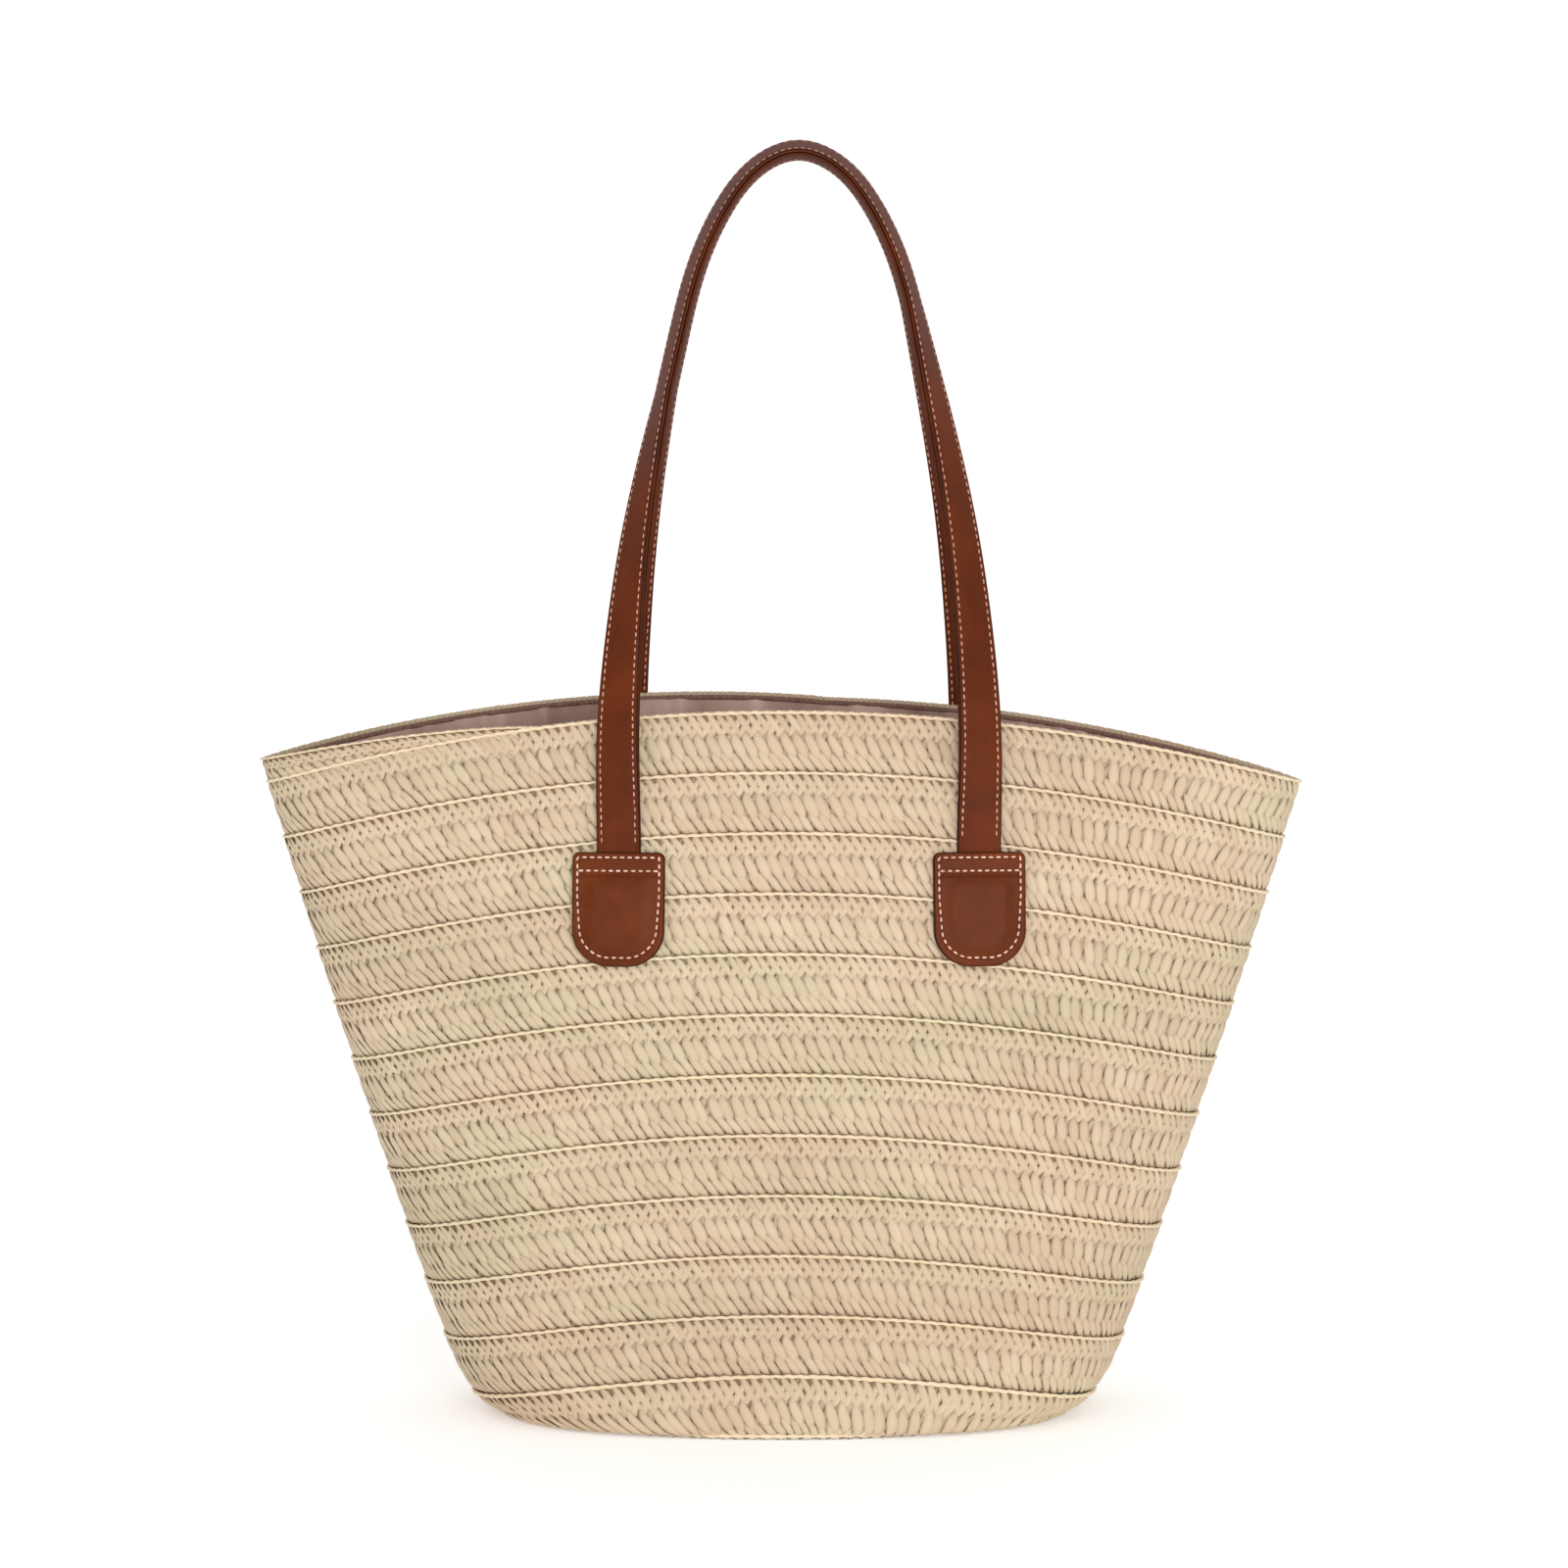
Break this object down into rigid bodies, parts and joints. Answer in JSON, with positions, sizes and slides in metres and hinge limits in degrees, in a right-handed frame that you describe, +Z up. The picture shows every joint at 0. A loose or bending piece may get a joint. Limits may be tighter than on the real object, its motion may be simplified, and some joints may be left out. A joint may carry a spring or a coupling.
{
  "type": "beach bag",
  "caption": "Open woven straw beach bag with an oval base, satin lining and a pair of brown leather shoulder straps.",
  "frame": {"origin": "middle of the bag's footprint, on the floor it stands on", "axes": "+X along the bag's length, to the right seen from the front; -Y the front; +Z up, through the mouth"},
  "size_m": [0.4619, 0.1518, 0.5642],
  "materials": {
    "straw_braid": "dull plaited paper straw",
    "satin_lining": "mauve-taupe satin",
    "brown_tape": "brown binding tape",
    "tab_leather": "semi-gloss faux leather",
    "strap_leather": "semi-gloss faux leather",
    "patch_felt": "pressed felt"
  },
  "bodies": {
    "bag_body": {"base_row_1": "straw_braid", "base_row_2": "straw_braid", "base_row_3": "straw_braid", "braid_row_01": "straw_braid", "braid_row_02": "straw_braid", "braid_row_03": "straw_braid", "braid_row_04": "straw_braid", "braid_row_05": "straw_braid", "braid_row_06": "straw_braid", "braid_row_07": "straw_braid", "braid_row_08": "straw_braid", "braid_row_09": "straw_braid", "braid_row_10": "straw_braid", "braid_row_11": "straw_braid", "braid_row_12": "straw_braid", "braid_tail": "straw_braid", "lining_wall": "satin_lining", "lining_floor": "satin_lining", "rim_tape": "brown_tape", "tab_front_left": "tab_leather", "tab_front_right": "tab_leather", "tab_back_left": "tab_leather", "tab_back_right": "tab_leather", "strap_end_front_left": "strap_leather", "strap_end_front_right": "strap_leather", "strap_end_back_left": "strap_leather", "strap_end_back_right": "strap_leather", "patch_front_left": "patch_felt", "patch_front_right": "patch_felt", "patch_back_left": "patch_felt", "patch_back_right": "patch_felt"},
    "handle_front": {"strap_front_outer": "strap_leather", "strap_front_inner": "strap_leather"},
    "handle_back": {"strap_back_outer": "strap_leather", "strap_back_inner": "strap_leather"}
  },
  "joints": [
    {"name": "handle_front_swing", "type": "hinge", "parent": "bag_body", "child": "handle_front", "pos_m": [0.0065, -0.06049, 0.25489], "axis": [1, 0, 0], "range_deg": [0, 140]},
    {"name": "handle_back_swing", "type": "hinge", "parent": "bag_body", "child": "handle_back", "pos_m": [0.0065, 0.06049, 0.25489], "axis": [-1, 0, 0], "range_deg": [0, 140]}
  ]
}
